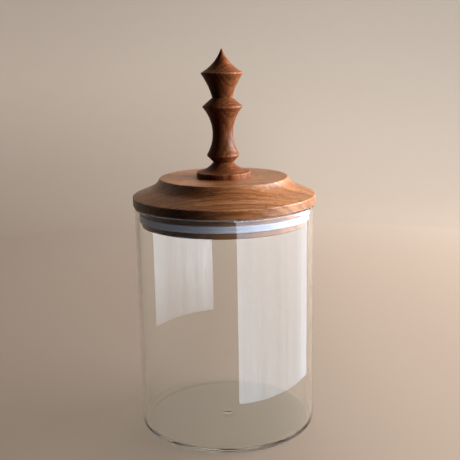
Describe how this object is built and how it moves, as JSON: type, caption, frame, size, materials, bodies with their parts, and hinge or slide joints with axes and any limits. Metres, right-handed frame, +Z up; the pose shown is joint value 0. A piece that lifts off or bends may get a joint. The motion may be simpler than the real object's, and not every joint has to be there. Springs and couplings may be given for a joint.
{
  "type": "herb keeper",
  "caption": "Straight-sided clear glass jar with a turned wooden lid that drops in on a soft seal ring and carries a tall, slender turned finial as its knob.",
  "frame": {"origin": "centre of the underside of the glass, on the surface it stands on", "axes": "+Z up along the axis that every piece is turned about, towards the finial's point; X and Y across the jar"},
  "size_m": [0.1014, 0.1014, 0.2121],
  "materials": {
    "clear_glass": "polished",
    "lid_wood": "oiled, satin",
    "silicone": "translucent, matt",
    "knob_wood": "oiled, satin",
    "screw_steel": "bright"
  },
  "bodies": {
    "jar": {"glass_jar": "clear_glass"},
    "seal": {"seal_ring": "silicone"},
    "lid": {"wooden_lid": "lid_wood", "finial_knob": "knob_wood", "knob_screw": "screw_steel"}
  },
  "joints": [
    {"name": "lid_lift", "type": "slide", "parent": "jar", "child": "seal", "axis": [0, 0, 1], "range_m": [0, 0.12]},
    {"name": "lid_turn", "type": "hinge", "parent": "seal", "child": "lid", "pos_m": [0, 0, 0.12285], "axis": [0, 0, 1], "continuous": true}
  ]
}
